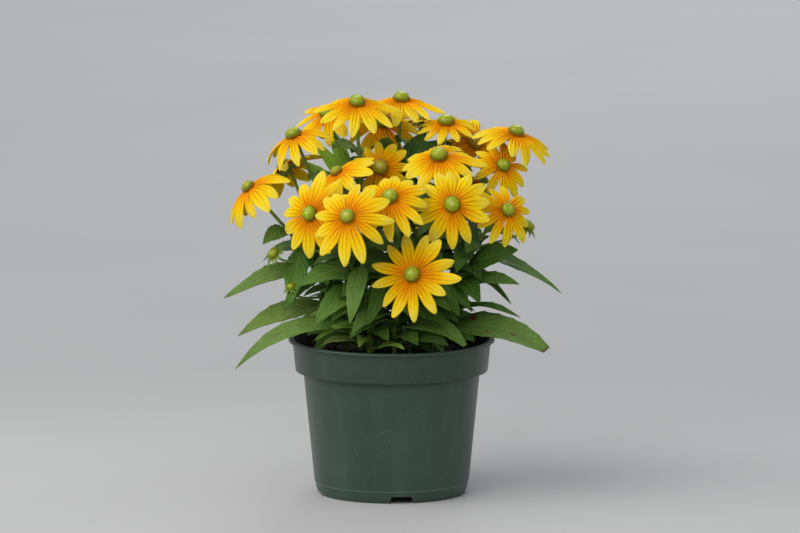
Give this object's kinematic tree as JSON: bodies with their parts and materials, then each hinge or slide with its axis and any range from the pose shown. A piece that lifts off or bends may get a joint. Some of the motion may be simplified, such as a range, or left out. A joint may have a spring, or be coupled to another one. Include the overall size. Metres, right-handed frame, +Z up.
{
  "type": "potted prairie sun black-eyed susan",
  "caption": "Flowering black-eyed susan with green cones and golden, pale-tipped rays, in a round tapered plastic nursery pot filled with potting mix",
  "frame": {"origin": "centre of the pot's foot, on the surface that it stands on", "axes": "+Z up along the pot's axis, -Y the side the plant turns to the viewer, +X to the viewer's right"},
  "size_m": [0.31, 0.2902, 0.3712],
  "materials": {
    "pot_plastic": "dark grey-green satin moulded plastic",
    "potting_mix": "dark brown crumbly potting mix",
    "foliage": "green, slightly rough and hairy stems and leaves",
    "ray_florets": "satin petals, amber at the foot and lemon at the tip",
    "disc_florets": "green cone of small florets"
  },
  "bodies": {
    "root": {"pot": "pot_plastic", "soil": "potting_mix", "leafy_stem_01": "foliage", "leafy_stem_02": "foliage", "leafy_stem_03": "foliage", "leafy_stem_04": "foliage", "leafy_stem_05": "foliage", "leafy_stem_06": "foliage", "leafy_stem_07": "foliage", "leafy_stem_08": "foliage", "leafy_stem_09": "foliage", "leafy_stem_10": "foliage", "rays_01": "ray_florets", "rays_02": "ray_florets", "rays_03": "ray_florets", "rays_04": "ray_florets", "rays_05": "ray_florets", "rays_06": "ray_florets", "rays_07": "ray_florets", "rays_08": "ray_florets", "rays_09": "ray_florets", "rays_10": "ray_florets", "rays_11": "ray_florets", "rays_12": "ray_florets", "rays_13": "ray_florets", "rays_14": "ray_florets", "rays_15": "ray_florets", "rays_16": "ray_florets", "rays_17": "ray_florets", "rays_18": "ray_florets", "rays_19": "ray_florets", "rays_20": "ray_florets", "rays_21": "ray_florets", "rays_22": "ray_florets", "rays_23": "ray_florets", "rays_24": "ray_florets", "cone_01": "disc_florets", "cone_02": "disc_florets", "cone_03": "disc_florets", "cone_04": "disc_florets", "cone_05": "disc_florets", "cone_06": "disc_florets", "cone_07": "disc_florets", "cone_08": "disc_florets", "cone_09": "disc_florets", "cone_10": "disc_florets", "cone_11": "disc_florets", "cone_12": "disc_florets", "cone_13": "disc_florets", "cone_14": "disc_florets", "cone_15": "disc_florets", "cone_16": "disc_florets", "cone_17": "disc_florets", "cone_18": "disc_florets", "cone_19": "disc_florets", "cone_20": "disc_florets", "cone_21": "disc_florets", "cone_22": "disc_florets", "cone_23": "disc_florets", "cone_24": "disc_florets"}
  },
  "joints": []
}
